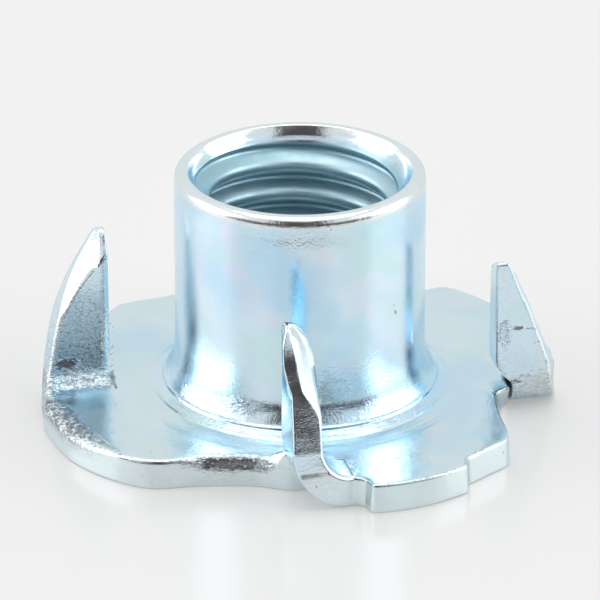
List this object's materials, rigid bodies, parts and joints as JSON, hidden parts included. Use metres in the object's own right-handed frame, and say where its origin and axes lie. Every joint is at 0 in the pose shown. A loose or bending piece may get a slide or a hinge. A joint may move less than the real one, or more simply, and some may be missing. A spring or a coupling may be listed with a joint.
{
  "type": "tee nut",
  "caption": "Pressed steel tee nut: a flanged, internally threaded barrel with prongs folded up from the flange to bite into timber, bright blue-passivated zinc plating.",
  "frame": {"origin": "on the bore's axis, in the plane of the flange's underside", "axes": "+Z along the bore from the flange towards the barrel's rim, +X through one prong"},
  "size_m": [0.025, 0.025, 0.0124],
  "materials": {
    "zinc_plated_steel": "bright zinc plating, blue passivated, with faint iridescence"
  },
  "bodies": {
    "root": {"tee_nut": "zinc_plated_steel"}
  },
  "joints": []
}
